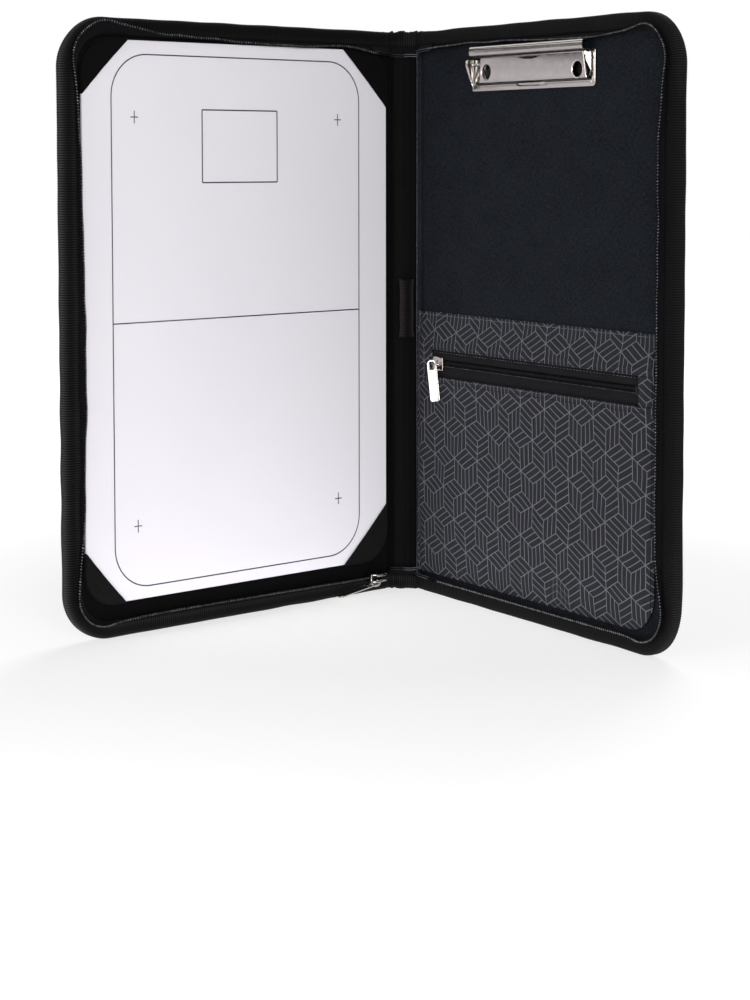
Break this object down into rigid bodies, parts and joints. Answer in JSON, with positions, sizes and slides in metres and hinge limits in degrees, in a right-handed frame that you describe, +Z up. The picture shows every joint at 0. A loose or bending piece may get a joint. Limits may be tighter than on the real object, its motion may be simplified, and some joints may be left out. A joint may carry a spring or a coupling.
{
  "type": "tactics folder",
  "caption": "Zipped fabric folder open like a book, with a white tactics board in corner pockets, a lever clip, a zipped document pocket and a pen loop.",
  "frame": {"origin": "foot of the spine, on the plane the open folder stands on, at the outer face of the spine's fabric", "axes": "+Z up along the spine; +Y out of the spine's outer face; +X towards the back cover, so both covers open towards -Y"},
  "size_m": [0.3444, 0.1869, 0.35],
  "materials": {
    "outer_cloth": "matt woven polyester, black",
    "foam_grey": "grey padding foam",
    "stiff_board": "plain stiffening board",
    "lining_cloth": "matt woven lining, black",
    "ribbed_binding": "ribbed edge binding, black",
    "zipper_tape": "woven zipper tape, black",
    "zipper_coil": "nylon zipper coil, black",
    "white_board": "glossy white, wipes clean",
    "printed_cloth": "charcoal cloth with a thin grey line print",
    "webbing": "satin black webbing",
    "elastic": "ribbed elastic, black",
    "nickel": "bright nickel plate",
    "spring_steel": "drawn spring wire"
  },
  "bodies": {
    "spine": {"spine_outer_fabric": "outer_cloth", "spine_foam": "foam_grey", "spine_lining": "lining_cloth", "spine_binding_top": "ribbed_binding", "spine_binding_bottom": "ribbed_binding", "zipper_end_tab_top": "zipper_tape", "zipper_end_tab_bottom": "zipper_tape", "pen_loop": "elastic"},
    "front_cover": {"front_outer_fabric": "outer_cloth", "front_foam": "foam_grey", "front_stiffener": "stiff_board", "front_lining": "lining_cloth", "front_binding": "ribbed_binding", "front_zipper_tape": "zipper_tape", "front_zipper_teeth": "zipper_coil", "tactics_board": "white_board", "corner_pocket_outer_top": "lining_cloth", "corner_pocket_outer_bottom": "lining_cloth", "corner_pocket_spine_top": "lining_cloth", "corner_pocket_spine_bottom": "lining_cloth", "cover_webbing": "webbing", "webbing_edge_strip": "webbing"},
    "back_cover": {"back_outer_fabric": "outer_cloth", "back_foam": "foam_grey", "back_stiffener": "stiff_board", "back_lining": "lining_cloth", "back_binding": "ribbed_binding", "back_zipper_tape": "zipper_tape", "back_zipper_teeth": "zipper_coil", "document_pocket_panel": "printed_cloth", "document_pocket_band": "printed_cloth", "pocket_zipper_tape_upper": "zipper_tape", "pocket_zipper_tape_lower": "zipper_tape", "pocket_zipper_teeth_upper": "zipper_coil", "pocket_zipper_teeth_lower": "zipper_coil", "pocket_zipper_stop": "nickel", "pocket_end_tab_spine_side": "printed_cloth", "pocket_end_tab_outer_side": "printed_cloth", "clip_base_plate": "nickel", "clip_pivot_pin": "nickel", "clip_rivet_spine_side": "nickel", "clip_rivet_outer_side": "nickel", "clip_spring_spine_side": "spring_steel", "clip_spring_outer_side": "spring_steel"},
    "clip_jaw": {"clip_jaw_plate": "nickel"},
    "pocket_zip_slider": {"pocket_slider": "nickel"},
    "pocket_zip_pull": {"pocket_pull_tab": "nickel"},
    "main_zip_slider": {"main_slider": "nickel"},
    "main_zip_pull": {"main_pull_tab": "nickel"}
  },
  "joints": [
    {"name": "front_crease", "type": "hinge", "parent": "spine", "child": "front_cover", "pos_m": [-0.012, 0, 0], "axis": [0, 0, 1], "range_deg": [-48.7, 41.3]},
    {"name": "back_crease", "type": "hinge", "parent": "spine", "child": "back_cover", "pos_m": [0.012, 0, 0], "axis": [0, 0, -1], "range_deg": [-48.7, 41.3]},
    {"name": "clip_lever", "type": "hinge", "parent": "back_cover", "child": "clip_jaw", "pos_m": [0.08446, -0.09407, 0.327], "axis": [-0.66, 0.7513, 0], "range_deg": [0, 28], "stiffness_Nm_per_rad": 0.05, "springref_deg": -20.05},
    {"name": "pocket_zip_travel", "type": "slide", "parent": "back_cover", "child": "pocket_zip_slider", "axis": [0.66, -0.7513, 0], "range_m": [0, 0.175]},
    {"name": "pocket_pull_swing", "type": "hinge", "parent": "pocket_zip_slider", "child": "pocket_zip_pull", "pos_m": [0.02049, -0.02489, 0.145], "axis": [-0.7513, -0.66, 0], "range_deg": [-24, 20]},
    {"name": "main_zip_travel", "type": "slide", "parent": "front_cover", "child": "main_zip_slider", "axis": [-0.66, -0.7513, 0], "range_m": [0, 0.185]},
    {"name": "main_pull_flip", "type": "hinge", "parent": "main_zip_slider", "child": "main_zip_pull", "pos_m": [-0.01559, -0.02227, 0.00635], "axis": [0.7513, -0.66, 0], "range_deg": [-8, 82]}
  ]
}
